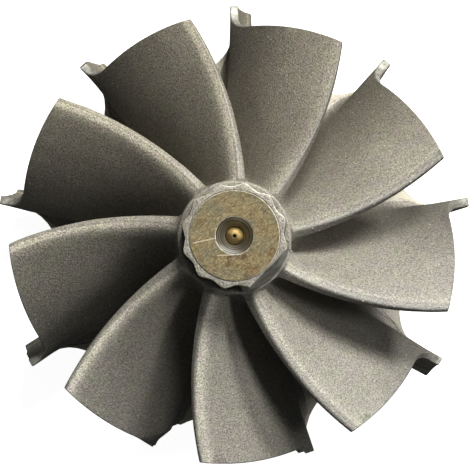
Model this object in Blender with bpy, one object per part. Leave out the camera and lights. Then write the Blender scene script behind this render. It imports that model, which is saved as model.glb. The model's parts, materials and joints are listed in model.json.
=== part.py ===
"""Turbocharger turbine wheel: one casting of hub, scalloped back disc and nine twisted blades.

Metres, +Z up, along the wheel's axis towards the nose at the outlet (exducer) end. The origin is the
centre of the flat weld face on the back boss, where the shaft would be joined. Angles are in degrees,
counterclockwise from +X as seen from the nose.
"""

import math

import bmesh
import bpy

MM = 0.001

# Blade ring
BLADES = 9
PITCH = 360 / BLADES
FIRST_TIP_ANGLE = 90.0
INDUCER_RADIUS = 48.0 * MM
EXDUCER_RADIUS = 43.3 * MM
CURL_RADIUS = 5.0 * MM
TIP_HEIGHT = 18.0 * MM
BLADE_RISE = 20.0 * MM
TRAILING_RISE = 6.8 * MM
INDUCER_WIDTH = 12.0 * MM

# Blade twist: radial fibres that turn clockwise towards the nose, first over the curl and then in one sweep
WRAP_SLOPE = 2.36 / MM
WRAP_POWER = 2.0
CURL_SLOPE = 1.1 / MM
CURL_RISE = 0.08
BACK_LEAN = 2.9

# Blade thickness, square to the blade
TIP_LEADING_THICKNESS = 1.7 * MM
TIP_TRAILING_THICKNESS = 0.9 * MM
ROOT_LEADING_THICKNESS = 2.0 * MM
ROOT_TRAILING_THICKNESS = 3.0 * MM
ROOT_SWELL = 1.2 * MM
ROOT_DEPTH = 0.9 * MM
STEPS_ALONG = 14
STEPS_ACROSS = 5
CURL_SHARE = 0.3
HUB_CURVE_SHARE = 0.88

# Disc and hub
DISC_RADIUS = 47.6 * MM
DISC_BACK = 6.0 * MM
DISC_THICKNESS = 2.2 * MM
HUB_RADIUS = 10.8 * MM
HUB_CURVE_TOP = 41.0 * MM
RIM_HEIGHT = 47.5 * MM
RIM_ROUND = 0.5 * MM
BOSS_RADIUS = 13.0 * MM
BOSS_EDGE = 0.6 * MM
BACK_FILLET = 3.0 * MM
BACK_RISE = 1.6 * MM
TURN_STEPS = 54
PROFILE_STEPS = 10

# Scallops in the disc between the blades, as angles from the middle of a blade
SCALLOP_DEPTH = 12.4 * MM
SCALLOP_START = 1.2
SCALLOP_END = PITCH - SCALLOP_START
SCALLOP_POWER = 2.8
SCALLOP_STEPS = 12
SCALLOP_REACH = 56.0 * MM
SCALLOP_LEVELS = (0.0, DISC_BACK, 1.5 * DISC_BACK, 2 * DISC_BACK, 3 * DISC_BACK)

# Twelve-point boss on the nose
NOSE_POINTS = 12
NOSE_POINT_ANGLE = 18.0
NOSE_CORNER_RADIUS = 9.95 * MM
NOSE_VALLEY_RADIUS = 9.1 * MM
NOSE_FACE_RADIUS = 8.45 * MM
NOSE_TOP = 54.4 * MM
NOSE_FACE = 54.6 * MM
NOSE_ARC_STEPS = 6

# Balance cut on one side of the boss: its middle, its reach to each side at the foot and at the top,
# its radius at the foot, and the distance of its flat top edge from the axis
CUT_MIDDLE = -44.0
CUT_FOOT_REACH = 39.0
CUT_TOP_REACH = 29.0
CUT_FOOT_RADIUS = 10.5 * MM
CUT_TOP_DISTANCE = 8.75 * MM

# Centre drilling in the nose face: a cone, a raised collar and the pilot hole in it
CENTRE_RADIUS = 3.5 * MM
CENTRE_CONE_DEPTH = 3.0 * MM
COLLAR_RADIUS = 1.65 * MM
COLLAR_RISE = 0.75 * MM
PILOT_RADIUS = 0.55 * MM
PILOT_DEPTH = 5.6 * MM
PILOT_POINT_DEPTH = 6.2 * MM
HOLE_STEPS = 24

# Inducer tips that have broken off: blade number, then the break line as radius and height
BROKEN_TIPS = {
    6: [(41.0 * MM, 0.0), (41.0 * MM, 18.5 * MM), (45.0 * MM, 27.0 * MM)],
    5: [(44.4 * MM, 0.0), (44.4 * MM, 30.0 * MM)],
}
BREAK_HALF_WIDTH = 9.0 * MM
BREAK_REACH = 56.0 * MM

# Slack that lets one cutter or core run past the face that it meets
OVERRUN = 1.0 * MM


def clear_scene():
    for item in list(bpy.data.objects):
        bpy.data.objects.remove(item)


def cast_metal():
    """Rough nickel-alloy casting with a dull brown-grey skin."""
    material = bpy.data.materials.new("cast_nickel_alloy")
    material.use_nodes = True
    shader = material.node_tree.nodes["Principled BSDF"]
    shader.inputs["Base Color"].default_value = (0.23, 0.21, 0.18, 1.0)
    shader.inputs["Metallic"].default_value = 0.7
    shader.inputs["Roughness"].default_value = 0.55
    return material


def polar(radius, degrees, height):
    angle = math.radians(degrees)
    return (radius * math.cos(angle), radius * math.sin(angle), height)


def mesh_object(name, points, faces):
    """One closed body with its faces turned outwards."""
    shape = bmesh.new()
    corners = [shape.verts.new(point) for point in points]
    for face in faces:
        shape.faces.new([corners[index] for index in face])
    bmesh.ops.recalc_face_normals(shape, faces=shape.faces)
    mesh = bpy.data.meshes.new(name)
    shape.to_mesh(mesh)
    shape.free()
    made = bpy.data.objects.new(name, mesh)
    bpy.context.scene.collection.objects.link(made)
    return made


def helper(made):
    """A cutter or a core: it shapes the casting and isn't a piece itself."""
    made.hide_render = True
    made.display_type = "WIRE"
    return made


def turned(name, profile, steps):
    """A solid of revolution about Z. The profile runs from the axis to the axis."""
    start, *middle, end = profile
    points = [(0, 0, start[1])]
    for radius, height in middle:
        points += [polar(radius, 360 * step / steps, height) for step in range(steps)]
    points.append((0, 0, end[1]))
    last = len(points) - 1
    faces = []
    for step in range(steps):
        after = (step + 1) % steps
        faces.append((0, 1 + after, 1 + step))
        for ring in range(len(middle) - 1):
            low = 1 + ring * steps
            high = low + steps
            faces.append((low + step, low + after, high + after, high + step))
        top = 1 + (len(middle) - 1) * steps
        faces.append((last, top + step, top + after))
    return mesh_object(name, points, faces)


def prism(name, outlines):
    """A solid between outlines of equal length, stacked one above the other, with flat ends."""
    count = len(outlines[0])
    points = [point for outline in outlines for point in outline]
    faces = [tuple(range(count))]
    faces.append(tuple(range(len(points) - count, len(points))))
    for level in range(len(outlines) - 1):
        base = level * count
        for step in range(count):
            after = (step + 1) % count
            faces.append((base + step, base + after, base + count + after, base + count + step))
    return mesh_object(name, points, faces)


def hub_curve(share):
    """Radius and height on the front of the disc and hub, from the disc's rim to the straight hub."""
    angle = math.radians(90 * share)
    radius = DISC_RADIUS - (DISC_RADIUS - HUB_RADIUS) * math.sin(angle)
    front = DISC_BACK + DISC_THICKNESS
    height = HUB_CURVE_TOP - (HUB_CURVE_TOP - front) * math.cos(angle)
    return radius, height


def hub_profile():
    """Half section of hub and disc, from the weld face round the rim to the nose shoulder."""
    profile = [(0, 0), (BOSS_RADIUS - BOSS_EDGE, 0), (BOSS_RADIUS, BOSS_EDGE)]
    boss_top = DISC_BACK - BACK_RISE
    for step in range(4):
        angle = math.radians(30 * step)
        radius = BOSS_RADIUS + BACK_FILLET * (1 - math.cos(angle))
        height = boss_top - BACK_FILLET * (1 - math.sin(angle))
        profile.append((radius, height))
    profile.append((DISC_RADIUS, DISC_BACK))
    profile += [hub_curve(step / PROFILE_STEPS) for step in range(PROFILE_STEPS + 1)]
    profile.append((HUB_RADIUS, RIM_HEIGHT - RIM_ROUND))
    profile.append((HUB_RADIUS - RIM_ROUND, RIM_HEIGHT))
    profile.append((0, RIM_HEIGHT))
    return profile


def scallop(blade):
    """Cutter for the rounded bite out of the disc, counterclockwise of one blade and leaning with it."""
    middle = (SCALLOP_START + SCALLOP_END) / 2
    half = (SCALLOP_END - SCALLOP_START) / 2
    tip = FIRST_TIP_ANGLE - PITCH * (blade - 1)
    outline = []
    for step in range(SCALLOP_STEPS + 1):
        across = -math.cos(math.pi * step / SCALLOP_STEPS)
        bite = max(0.0, 1 - abs(across) ** SCALLOP_POWER) ** (1 / SCALLOP_POWER)
        radius = INDUCER_RADIUS - SCALLOP_DEPTH * bite
        outline.append((radius, tip + middle + half * across))
    outline.append((SCALLOP_REACH, tip + SCALLOP_END))
    outline.append((SCALLOP_REACH, tip + middle))
    outline.append((SCALLOP_REACH, tip + SCALLOP_START))
    outlines = []
    for level in SCALLOP_LEVELS:
        lean = wrap(max(level, DISC_BACK))
        outlines.append([polar(radius, angle - lean, level) for radius, angle in outline])
    return helper(prism(f"scallop_cutter_{blade}", outlines))


def wrap(height):
    """How far a blade has turned clockwise from its inducer tip at this height, in degrees."""
    rise = height - TIP_HEIGHT
    if rise < 0:
        return BACK_LEAN * (rise / INDUCER_WIDTH) ** 2
    share = min(1.0, rise / BLADE_RISE)
    curl = CURL_SLOPE * (share - CURL_RISE * (1 - math.exp(-share / CURL_RISE)))
    power = WRAP_POWER + 1
    sweep = (WRAP_SLOPE - CURL_SLOPE) * share**power / power
    return BLADE_RISE * (curl + sweep) + WRAP_SLOPE * max(0.0, rise - BLADE_RISE)


def wrap_slope(height):
    """The turn's rate of change with height, in radians per metre."""
    step = 0.1 * MM
    return math.radians(wrap(height + step) - wrap(height - step)) / (2 * step)


def shroud_line(share):
    """Radius and height of the blade's outer edge, from the inducer tip to the trailing edge."""
    if share < CURL_SHARE:
        angle = math.radians(90 * share / CURL_SHARE)
        radius = INDUCER_RADIUS - CURL_RADIUS * math.sin(angle)
        return radius, TIP_HEIGHT + CURL_RADIUS * (1 - math.cos(angle))
    along = (share - CURL_SHARE) / (1 - CURL_SHARE)
    start = INDUCER_RADIUS - CURL_RADIUS
    radius = start + (EXDUCER_RADIUS - start) * along
    return radius, TIP_HEIGHT + CURL_RADIUS + (BLADE_RISE - CURL_RADIUS) * along


def root_line(share):
    """Radius and height of the blade's root, sunk into disc and hub."""
    if share < HUB_CURVE_SHARE:
        curve = share / HUB_CURVE_SHARE
        radius, height = hub_curve(curve)
        outward = INDUCER_RADIUS - DISC_RADIUS
        sink = math.radians(90 * curve)
        radius += outward * (1 - curve) - ROOT_DEPTH * math.sin(sink)
        return radius, height - ROOT_DEPTH * math.cos(sink)
    along = (share - HUB_CURVE_SHARE) / (1 - HUB_CURVE_SHARE)
    top = TIP_HEIGHT + BLADE_RISE + TRAILING_RISE
    return HUB_RADIUS - ROOT_DEPTH, HUB_CURVE_TOP + (top - HUB_CURVE_TOP) * along


def thickness(share, span):
    tip = TIP_LEADING_THICKNESS + (TIP_TRAILING_THICKNESS - TIP_LEADING_THICKNESS) * share**2
    root = ROOT_LEADING_THICKNESS + (ROOT_TRAILING_THICKNESS - ROOT_LEADING_THICKNESS) * share
    root += ROOT_SWELL * math.sin(math.pi * share)
    return tip + (root - tip) * (1 - span) ** 1.5


def blade_point(tip_angle, share, span, side):
    """A point on one face of the blade: span 0 at the root and 1 at the shroud edge."""
    root_radius, root_height = root_line(share)
    tip_radius, tip_height = shroud_line(share)
    radius = root_radius + (tip_radius - root_radius) * span
    height = root_height + (tip_height - root_height) * span
    lead = radius * wrap_slope(height)
    offset = side * thickness(share, span) / 2 / math.hypot(1, lead)
    angle = math.radians(tip_angle - wrap(height))
    x = radius * math.cos(angle) - offset * math.sin(angle)
    y = radius * math.sin(angle) + offset * math.cos(angle)
    return (x, y, height + offset * lead)


def blade(number):
    """One closed blade: two faces, the shroud edge, the root and the two end edges."""
    tip_angle = FIRST_TIP_ANGLE - PITCH * (number - 1)
    rows = STEPS_ALONG + 1
    columns = STEPS_ACROSS + 1
    points = []
    for side in (1, -1):
        for row in range(rows):
            for column in range(columns):
                share = row / STEPS_ALONG
                span = column / STEPS_ACROSS
                points.append(blade_point(tip_angle, share, span, side))
    far = rows * columns
    faces = []
    for row in range(STEPS_ALONG):
        for column in range(STEPS_ACROSS):
            corner = row * columns + column
            square = (corner, corner + 1, corner + columns + 1, corner + columns)
            faces.append(square)
            faces.append(tuple(far + index for index in reversed(square)))
    for row in range(STEPS_ALONG):
        for column in (0, STEPS_ACROSS):
            near = row * columns + column
            faces.append((near, near + columns, far + near + columns, far + near))
    for column in range(STEPS_ACROSS):
        for row in (0, STEPS_ALONG):
            near = row * columns + column
            faces.append((near, near + 1, far + near + 1, far + near))
    return helper(mesh_object(f"blade_core_{number}", points, faces))


def broken_tip(number, line):
    """Cutter outside the break line of one inducer tip."""
    tip_angle = math.radians(FIRST_TIP_ANGLE - PITCH * (number - 1))
    top = line[-1][1]
    outline = [*line, (BREAK_REACH, top), (BREAK_REACH, line[0][1])]
    walls = []
    for side in (-BREAK_HALF_WIDTH, BREAK_HALF_WIDTH):
        wall = []
        for radius, height in outline:
            x = radius * math.cos(tip_angle) - side * math.sin(tip_angle)
            y = radius * math.sin(tip_angle) + side * math.cos(tip_angle)
            wall.append((x, y, height))
        walls.append(wall)
    return helper(prism(f"break_cutter_{number}", walls))


def in_cut(degrees, level):
    """Whether the balance cut covers the boss at this angle and level."""
    away = abs((degrees - CUT_MIDDLE + 180) % 360 - 180)
    return away <= CUT_FOOT_REACH + (CUT_TOP_REACH - CUT_FOOT_REACH) * level


def nose_outline(level, height):
    """Outline of the twelve-point boss: level 0 is its foot and 1 its top."""
    outline = []
    steps = NOSE_POINTS * NOSE_ARC_STEPS
    for step in range(steps):
        angle = NOSE_POINT_ANGLE + 360 * step / steps
        along = (step % NOSE_ARC_STEPS) / NOSE_ARC_STEPS
        hollow = math.sin(math.pi * along)
        radius = NOSE_CORNER_RADIUS - (NOSE_CORNER_RADIUS - NOSE_VALLEY_RADIUS) * hollow
        if in_cut(angle, level):
            top = CUT_TOP_DISTANCE / math.cos(math.radians(angle - CUT_MIDDLE))
            radius = CUT_FOOT_RADIUS + (top - CUT_FOOT_RADIUS) * level
        outline.append(polar(radius, angle, height))
    return outline


def nose_boss():
    foot = nose_outline(0, RIM_HEIGHT - OVERRUN)
    shoulder = nose_outline(0, RIM_HEIGHT + RIM_ROUND)
    top = nose_outline(1, NOSE_TOP)
    return helper(prism("nose_core", [foot, shoulder, top]))


def nose_face():
    """The round machined face that stands just proud of the boss."""
    profile = [
        (0, NOSE_TOP - OVERRUN),
        (NOSE_FACE_RADIUS, NOSE_TOP - OVERRUN),
        (NOSE_FACE_RADIUS, NOSE_FACE - (NOSE_FACE - NOSE_TOP) / 2),
        (NOSE_FACE_RADIUS - (NOSE_FACE - NOSE_TOP) / 2, NOSE_FACE),
        (0, NOSE_FACE),
    ]
    return helper(turned("nose_face_core", profile, TURN_STEPS))


def centre_drilling():
    profile = [
        (0, NOSE_FACE - PILOT_POINT_DEPTH),
        (PILOT_RADIUS, NOSE_FACE - PILOT_DEPTH),
        (PILOT_RADIUS, NOSE_FACE - CENTRE_CONE_DEPTH + COLLAR_RISE),
        (COLLAR_RADIUS, NOSE_FACE - CENTRE_CONE_DEPTH),
        (CENTRE_RADIUS, NOSE_FACE),
        (CENTRE_RADIUS, NOSE_FACE + OVERRUN),
        (0, NOSE_FACE + OVERRUN),
    ]
    return helper(turned("centre_drilling_cutter", profile, HOLE_STEPS))


def apply_boolean(body, tool, operation):
    change = body.modifiers.new(tool.name, "BOOLEAN")
    change.operation = operation
    change.solver = "EXACT"
    change.object = tool


def build_wheel():
    casting = turned("turbine_wheel_casting", hub_profile(), TURN_STEPS)
    casting.data.materials.append(cast_metal())
    numbers = range(1, BLADES + 1)
    for number in numbers:
        apply_boolean(casting, scallop(number), "DIFFERENCE")
    for number in numbers:
        apply_boolean(casting, blade(number), "UNION")
    apply_boolean(casting, nose_boss(), "UNION")
    apply_boolean(casting, nose_face(), "UNION")
    apply_boolean(casting, centre_drilling(), "DIFFERENCE")
    for number, line in BROKEN_TIPS.items():
        apply_boolean(casting, broken_tip(number, line), "DIFFERENCE")
    return casting


clear_scene()
build_wheel()
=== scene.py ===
"""Looks of the turbine wheel: the casting at full detail, its finishes, the camera, the light and the floor.

Sizes are in millimetres and angles in degrees, counterclockwise from +X as seen from the nose. The wheel is
one closed skin: a ring of columns that runs up and down each blade, with rows from inducer to exducer.
"""

import json
import math

import bmesh
import bpy
import numpy as np
from mathutils import Matrix, Vector, noise

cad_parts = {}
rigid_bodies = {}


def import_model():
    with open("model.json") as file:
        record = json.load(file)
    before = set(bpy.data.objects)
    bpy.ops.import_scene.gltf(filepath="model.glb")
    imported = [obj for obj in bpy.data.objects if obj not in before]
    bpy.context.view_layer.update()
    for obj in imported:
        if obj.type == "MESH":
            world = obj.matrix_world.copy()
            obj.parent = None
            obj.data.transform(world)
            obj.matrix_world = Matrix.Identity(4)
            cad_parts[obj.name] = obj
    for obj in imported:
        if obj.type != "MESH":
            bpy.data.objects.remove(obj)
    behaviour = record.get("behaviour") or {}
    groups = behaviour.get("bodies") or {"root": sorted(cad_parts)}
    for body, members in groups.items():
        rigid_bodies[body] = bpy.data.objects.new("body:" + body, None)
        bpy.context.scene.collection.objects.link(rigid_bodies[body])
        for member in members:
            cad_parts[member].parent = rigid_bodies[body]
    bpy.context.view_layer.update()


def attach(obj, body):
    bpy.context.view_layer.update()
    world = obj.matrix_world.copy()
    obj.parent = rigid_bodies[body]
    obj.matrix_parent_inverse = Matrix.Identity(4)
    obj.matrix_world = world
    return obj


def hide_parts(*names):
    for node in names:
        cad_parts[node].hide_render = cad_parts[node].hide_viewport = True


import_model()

MM = 0.001

# Blade ring, as in the CAD model
BLADES = 9
PITCH = 360 / BLADES
FIRST_TIP_ANGLE = 90.0
INDUCER_RADIUS = 48.0
EXDUCER_RADIUS = 43.5
CURL_RADIUS = 4.8
CURL_SHARE = 0.3
TIP_HEIGHT = 18.0
BLADE_RISE = 20.0
TRAILING_RISE = 6.8
INDUCER_WIDTH = 12.0
WRAP_SLOPE = 2.36
WRAP_POWER = 2.0
CURL_SLOPE = 1.1
CURL_RISE = 0.08
BACK_LEAN = 2.9

# Blade thickness, square to the blade
TIP_LEADING_THICKNESS = 1.7
TIP_TRAILING_THICKNESS = 0.9
ROOT_LEADING_THICKNESS = 2.0
ROOT_TRAILING_THICKNESS = 3.0
ROOT_SWELL = 1.2
THICKENING_POWER = 1.5

# Disc and hub
DISC_RADIUS = 47.6
DISC_BACK = 6.0
DISC_THICKNESS = 2.2
HUB_RADIUS = 10.8
HUB_CURVE_TOP = 41.0
HUB_CURVE_SHARE = 0.88
RIM_HEIGHT = 47.5
RIM_ROUND = 0.5
BOSS_RADIUS = 13.0
BOSS_EDGE = 0.6
BACK_FILLET = 3.0
BACK_RISE = 1.6

# Scallops
SCALLOP_DEPTH = 12.4
SCALLOP_POWER = 2.8

# Cast and machined roundings
ROOT_FILLET = 2.4
HUB_FILLET = 0.8
LEAST_FILLET = 0.15
EDGE_BEVEL = 0.18
BREAK_BEVEL = 0.02
TRAILING_FILLET = 0.7

# Root fillet: its share of the room up to the scallop and to the next passage, the blend between its limits,
# and the places along the flow between which it shrinks to the hub's fillet
FILLET_ROOM_SHARE = 0.7
FILLET_PITCH_SHARE = 0.9
FILLET_BLEND = 0.4
FILLET_SHRINK = (0.45, 0.95)

# Rounding of a blade's trailing edge, on its upper and lower side: depth at the tip, depth at the root and
# length along the flow as a multiple of the depth
UPPER_ROUND = (0.38, 1.7, 2.7)
LOWER_ROUND = (0.10, 0.3, 1.0)

# Columns on half a passage floor, a fillet and a blade face, rows along the flow and round the trailing edge,
# and how far the rows crowd at both ends
FLOOR_COLUMNS = 14
FILLET_COLUMNS = 6
BLADE_COLUMNS = 20
FLOW_ROWS = 76
TRAILING_ROWS = 12
ROW_CROWDING = 0.35

# Nose boss
NOSE_POINTS = 12
NOSE_POINT_ANGLE = 18.0
NOSE_CORNER_RADIUS = 9.95
NOSE_VALLEY_RADIUS = 9.22
NOSE_HOLLOW_POWER = 1.6
NOSE_FACE_RADIUS = 8.45
NOSE_TOP = 54.42
NOSE_FACE = 54.6
NOSE_CHAMFER = 0.14
NOSE_GROOVE = 0.22
FOOT_GROOVE = 0.25
NOSE_COLUMNS = 288
NOSE_ANGLES = [360 * step / NOSE_COLUMNS for step in range(NOSE_COLUMNS)]

# Rows of the rim's rounding, and the upright part below it. Rows of the boss: level from foot to top, how far
# outside the outline, and how far above the rim or below the top
RIM_ROWS = 5
RIM_UPRIGHT = 0.5
BOSS_FOOT_ROWS = ((0.0, 0.36, 0.0), (0.0, 0.22, -FOOT_GROOVE), (0.0, 0.06, -FOOT_GROOVE), (0.06, 0.0, 0.4))
BOSS_SIDE_LEVELS = (0.25, 0.5, 0.75, 0.93)
BOSS_TOP_ROWS = ((0.97, 0.0, 0.14), (1.0, -0.07, 0.06), (1.0, -0.17, 0.0))

# Balance cut on one side of the boss
CUT_MIDDLE = -44.0
CUT_FOOT_REACH = 39.0
CUT_TOP_REACH = 29.0
CUT_FOOT_RADIUS = 10.5
CUT_TOP_DISTANCE = 8.75
CUT_BLEND = 2.5

# Machined face: the groove's lip, outer and inner edge outside the face, and the face's inner rings
GROOVE_LIP = 0.15
GROOVE_OUTER = 0.10
GROOVE_INNER = 0.02
FACE_RINGS = (7.0, 5.3)

# Centre drilling, its collar and the pilot hole
CENTRE_RADIUS = 3.5
CENTRE_CHAMFER = 0.16
CENTRE_CONE_DEPTH = 3.0
CONE_ROWS = 6
COLLAR_RADIUS = 1.65
COLLAR_RISE = 0.75
COLLAR_ROWS = (0.06, 0.2, 0.4, 0.6, 0.8, 1.0)
COLLAR_INNER_RADIUS = 0.46
PILOT_RADIUS = 0.31
PILOT_DEPTH = 5.6
PILOT_POINT_DEPTH = 6.2
PILOT_POINT_ROWS = (0.3, 0.6, 0.85)

# Small bead of metal on the hub's rim: direction, size, and half its width as an angle and as a height
BEAD_ANGLE = -14.2
BEAD_SIZE = 0.75
BEAD_HALF_ANGLE = 1.9
BEAD_HALF_HEIGHT = 0.5

# Disc's edge and back: rows down the edge as shares of its height, with insets, the radius at which the rings
# of the back are even and the rows as far as that, and the inner rings of the back and the weld face
EDGE_ROWS = ((0.33, 0.0), (0.66, 0.0), (0.88, 0.0), (1.0, 0.3))
EVEN_RADIUS = 30.0
EVEN_ROWS = 6
BACK_RINGS = (26.5, 23.0, 19.5)
BACK_FILLET_ROWS = 6
WELD_RINGS = (9.0, 5.0, 2.0)

# Inducer tips that have broken or worn off: blade number, then the line that is left as heights and radii
BROKEN_TIPS = {
    2: ((0.0, 12.5, 15.5), (43.6, 44.2, 49.0)),
    3: ((0.0, 12.5, 15.5), (43.6, 44.2, 49.0)),
    5: ((0.0, 40.0), (44.4, 44.4)),
    6: ((0.0, 17.0, 19.0, 27.0), (40.8, 40.8, 41.8, 46.0)),
    7: ((0.0, 13.0, 16.0, 22.0), (48.4, 47.8, 47.0, 49.0)),
    8: ((0.0, 8.5, 12.0, 17.0, 21.0), (45.0, 46.2, 47.6, 48.0, 47.5)),
    9: ((0.0, 8.0, 13.0, 19.0, 24.0), (47.6, 46.4, 47.8, 46.8, 49.0)),
}

# How far a break leans, longer on the clockwise side, and the waves of its ragged edge: how many for each
# millimetre of height, and their size
BREAK_SLANT = {6: 1.9}
BREAK_WAVES = 0.5
BREAK_ROUGHNESS = 0.7

# Places along the flow where a column may start, on a broken tip and on the scallop
BREAK_SEARCH = np.linspace(0, 1, 801)
SCALLOP_SEARCH = np.linspace(0, 0.6, 1201)

# Inducer tips that are bent: blade number, then degrees at the tip, counterclockwise. A bend grows from one
# radius to the tip, and between two heights
BENT_TIPS = {2: -0.2, 7: 0.6, 8: -0.5, 9: 0.5}
BEND_START = 41.0
BEND_HEIGHTS = (8.0, 20.0)

# Unevenness of the cast skin: waves for each millimetre, their size and a shift of their pattern
CASTING_WAVES = ((0.16, 0.07, (0, 0, 0)), (0.45, 0.03, (9, 4, 2)))

# Radii between which the passage floor turns lighter with painted light, the place along the flow whose look
# the disc's back and the hub's rim take, and the angle from which an edge is sharp
LIT_FLOOR_RADII = (20.0, 32.0)
NOSE_FLOW = 0.85
SHARP_ANGLE = 38.0

# Material slots of the wheel's mesh
CAST, STRIP, GROUND, FACE, CONE, PILOT, BREAK, BACK, NOSE, CHAMFER, WELD = range(11)


def smooth_step(low, high, value):
    share = np.clip((value - low) / (high - low), 0, 1)
    return share * share * (3 - 2 * share)


def soft_least(first, second, blend):
    """The smaller of two values, with a rounded change from one to the other."""
    return (first + second - np.sqrt((first - second) ** 2 + blend * blend)) / 2


def wrap(height):
    """How far a blade has turned clockwise from its inducer tip at this height."""
    rise = height - TIP_HEIGHT
    share = np.clip(rise / BLADE_RISE, 0, 1)
    curl = CURL_SLOPE * (share - CURL_RISE * (1 - np.exp(-share / CURL_RISE)))
    sweep = (WRAP_SLOPE - CURL_SLOPE) * share ** (WRAP_POWER + 1) / (WRAP_POWER + 1)
    front = BLADE_RISE * (curl + sweep) + WRAP_SLOPE * np.clip(rise - BLADE_RISE, 0, None)
    return np.where(rise < 0, BACK_LEAN * (rise / INDUCER_WIDTH) ** 2, front)


def wrap_slope(height):
    """The turn's rate of change with height, in radians per millimetre."""
    rise = height - TIP_HEIGHT
    share = np.clip(rise / BLADE_RISE, 0, 1)
    curl = CURL_SLOPE * (1 - np.exp(-share / CURL_RISE))
    front = curl + (WRAP_SLOPE - CURL_SLOPE) * share**WRAP_POWER
    back = 2 * BACK_LEAN * rise / INDUCER_WIDTH**2
    return np.radians(np.where(rise < 0, back, front))


def hub_line(share, lift):
    """Radius and height on disc and hub. Lift raises the line's end above the trailing edge's root."""
    curve = np.clip(share / HUB_CURVE_SHARE, 0, 1)
    angle = np.radians(90 * curve)
    front = DISC_BACK + DISC_THICKNESS
    radius = DISC_RADIUS - (DISC_RADIUS - HUB_RADIUS) * np.sin(angle)
    radius = radius + (INDUCER_RADIUS - DISC_RADIUS) * (1 - curve)
    height = HUB_CURVE_TOP - (HUB_CURVE_TOP - front) * np.cos(angle)
    along = np.clip((share - HUB_CURVE_SHARE) / (1 - HUB_CURVE_SHARE), 0, 1)
    top = TIP_HEIGHT + BLADE_RISE + TRAILING_RISE + lift
    return radius, height + (top - HUB_CURVE_TOP) * along


def shroud_line(share):
    """Radius and height of a blade's outer edge, round the curl and up to the trailing edge."""
    angle = np.radians(90 * np.clip(share / CURL_SHARE, 0, 1))
    along = np.clip((share - CURL_SHARE) / (1 - CURL_SHARE), 0, 1)
    start = INDUCER_RADIUS - CURL_RADIUS
    radius = INDUCER_RADIUS - CURL_RADIUS * np.sin(angle) + (EXDUCER_RADIUS - start) * along
    height = TIP_HEIGHT + CURL_RADIUS * (1 - np.cos(angle)) + (BLADE_RISE - CURL_RADIUS) * along
    return radius, height


def half_thickness(share, span):
    tip = TIP_LEADING_THICKNESS + (TIP_TRAILING_THICKNESS - TIP_LEADING_THICKNESS) * share**2
    root = ROOT_LEADING_THICKNESS + (ROOT_TRAILING_THICKNESS - ROOT_LEADING_THICKNESS) * share
    root = root + ROOT_SWELL * np.sin(np.pi * share)
    return (tip + (root - tip) * (1 - span) ** THICKENING_POWER) / 2


SCALLOP_START = math.degrees((ROOT_LEADING_THICKNESS / 2 + LEAST_FILLET) / INDUCER_RADIUS)


def scallop_radius(from_camber):
    """The disc's outline, by the angle from the middle of the nearest blade."""
    across = (PITCH / 2 - np.abs(from_camber)) / (PITCH / 2 - SCALLOP_START)
    bite = np.clip(1 - np.abs(across) ** SCALLOP_POWER, 0, 1) ** (1 / SCALLOP_POWER)
    return INDUCER_RADIUS - SCALLOP_DEPTH * bite


def scallop_side(radius):
    """The angle from a blade's middle at which the disc's outline has this radius."""
    bite = np.clip((INDUCER_RADIUS - radius) / SCALLOP_DEPTH, 0, 1)
    across = (1 - bite**SCALLOP_POWER) ** (1 / SCALLOP_POWER)
    return PITCH / 2 - (PITCH / 2 - SCALLOP_START) * across


def fillet_radius(share):
    """Root fillet: as large as the scallop and the next blade leave room for."""
    radius, height = hub_line(share, 0.0)
    half = half_thickness(share, 0.0)
    room = np.radians(scallop_side(radius)) * radius - half
    lead = radius * wrap_slope(height)
    to_next_passage = FILLET_PITCH_SHARE * np.radians(PITCH / 2) * radius / np.hypot(1, lead) - half
    largest = ROOT_FILLET + (HUB_FILLET - ROOT_FILLET) * smooth_step(*FILLET_SHRINK, share)
    size = soft_least(FILLET_ROOM_SHARE * room, largest, FILLET_BLEND)
    return np.maximum(np.minimum(size, to_next_passage), LEAST_FILLET)


def foot_angle(share, inset):
    """Angle from the blade's middle to the foot of its root fillet."""
    radius, height = hub_line(share, 0.0)
    lead = radius * wrap_slope(height)
    offset = half_thickness(share, 0.0) + fillet_radius(share) - inset
    return np.degrees(offset * np.hypot(1, lead) / radius)


def break_share(number, fibre, side):
    """Where a fibre of a broken blade starts: the first share that lies inside the break line."""
    if number not in BROKEN_TIPS:
        return 0.0
    heights, radii = BROKEN_TIPS[number]
    radius, height = fibre(BREAK_SEARCH)
    limit = np.interp(height, heights, radii) - side * BREAK_SLANT.get(number, 0.0)
    start = np.argmax(radius <= limit)
    wave = Vector((float(height[start]) * BREAK_WAVES, 3.0, number * 7.0))
    ragged = limit + BREAK_ROUGHNESS * noise.fractal(wave, 1.0, 2.0, 3)
    return float(BREAK_SEARCH[np.argmax(radius <= ragged)])


def rows_along(start, first_gap, end_gap, rounding):
    """A column's rows, a small bevel, the face and the trailing edge's rounding, as shares and insets."""
    steps = np.linspace(0, 1, FLOW_ROWS)
    crowded = steps - ROW_CROWDING * np.sin(2 * np.pi * steps) / (2 * np.pi)
    first = start + first_gap
    last = 1 - end_gap
    face = first + (last - first) * crowded
    turn = np.radians(90 * np.arange(1, TRAILING_ROWS + 1) / TRAILING_ROWS)
    shares = np.concatenate([[start], face, last + (1 - last) * np.sin(turn)])
    insets = np.concatenate([np.zeros(FLOW_ROWS + 1), rounding * (1 - np.cos(turn))])
    return shares, insets


def speed(fibre, share):
    """Millimetres that a fibre moves for one unit of share."""
    step = 0.002
    low = min(max(share, step), 1 - step)
    radius, height = fibre(np.array([low - step, low + step]))
    return float(np.hypot(radius[1] - radius[0], height[1] - height[0]) / (2 * step))


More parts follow.
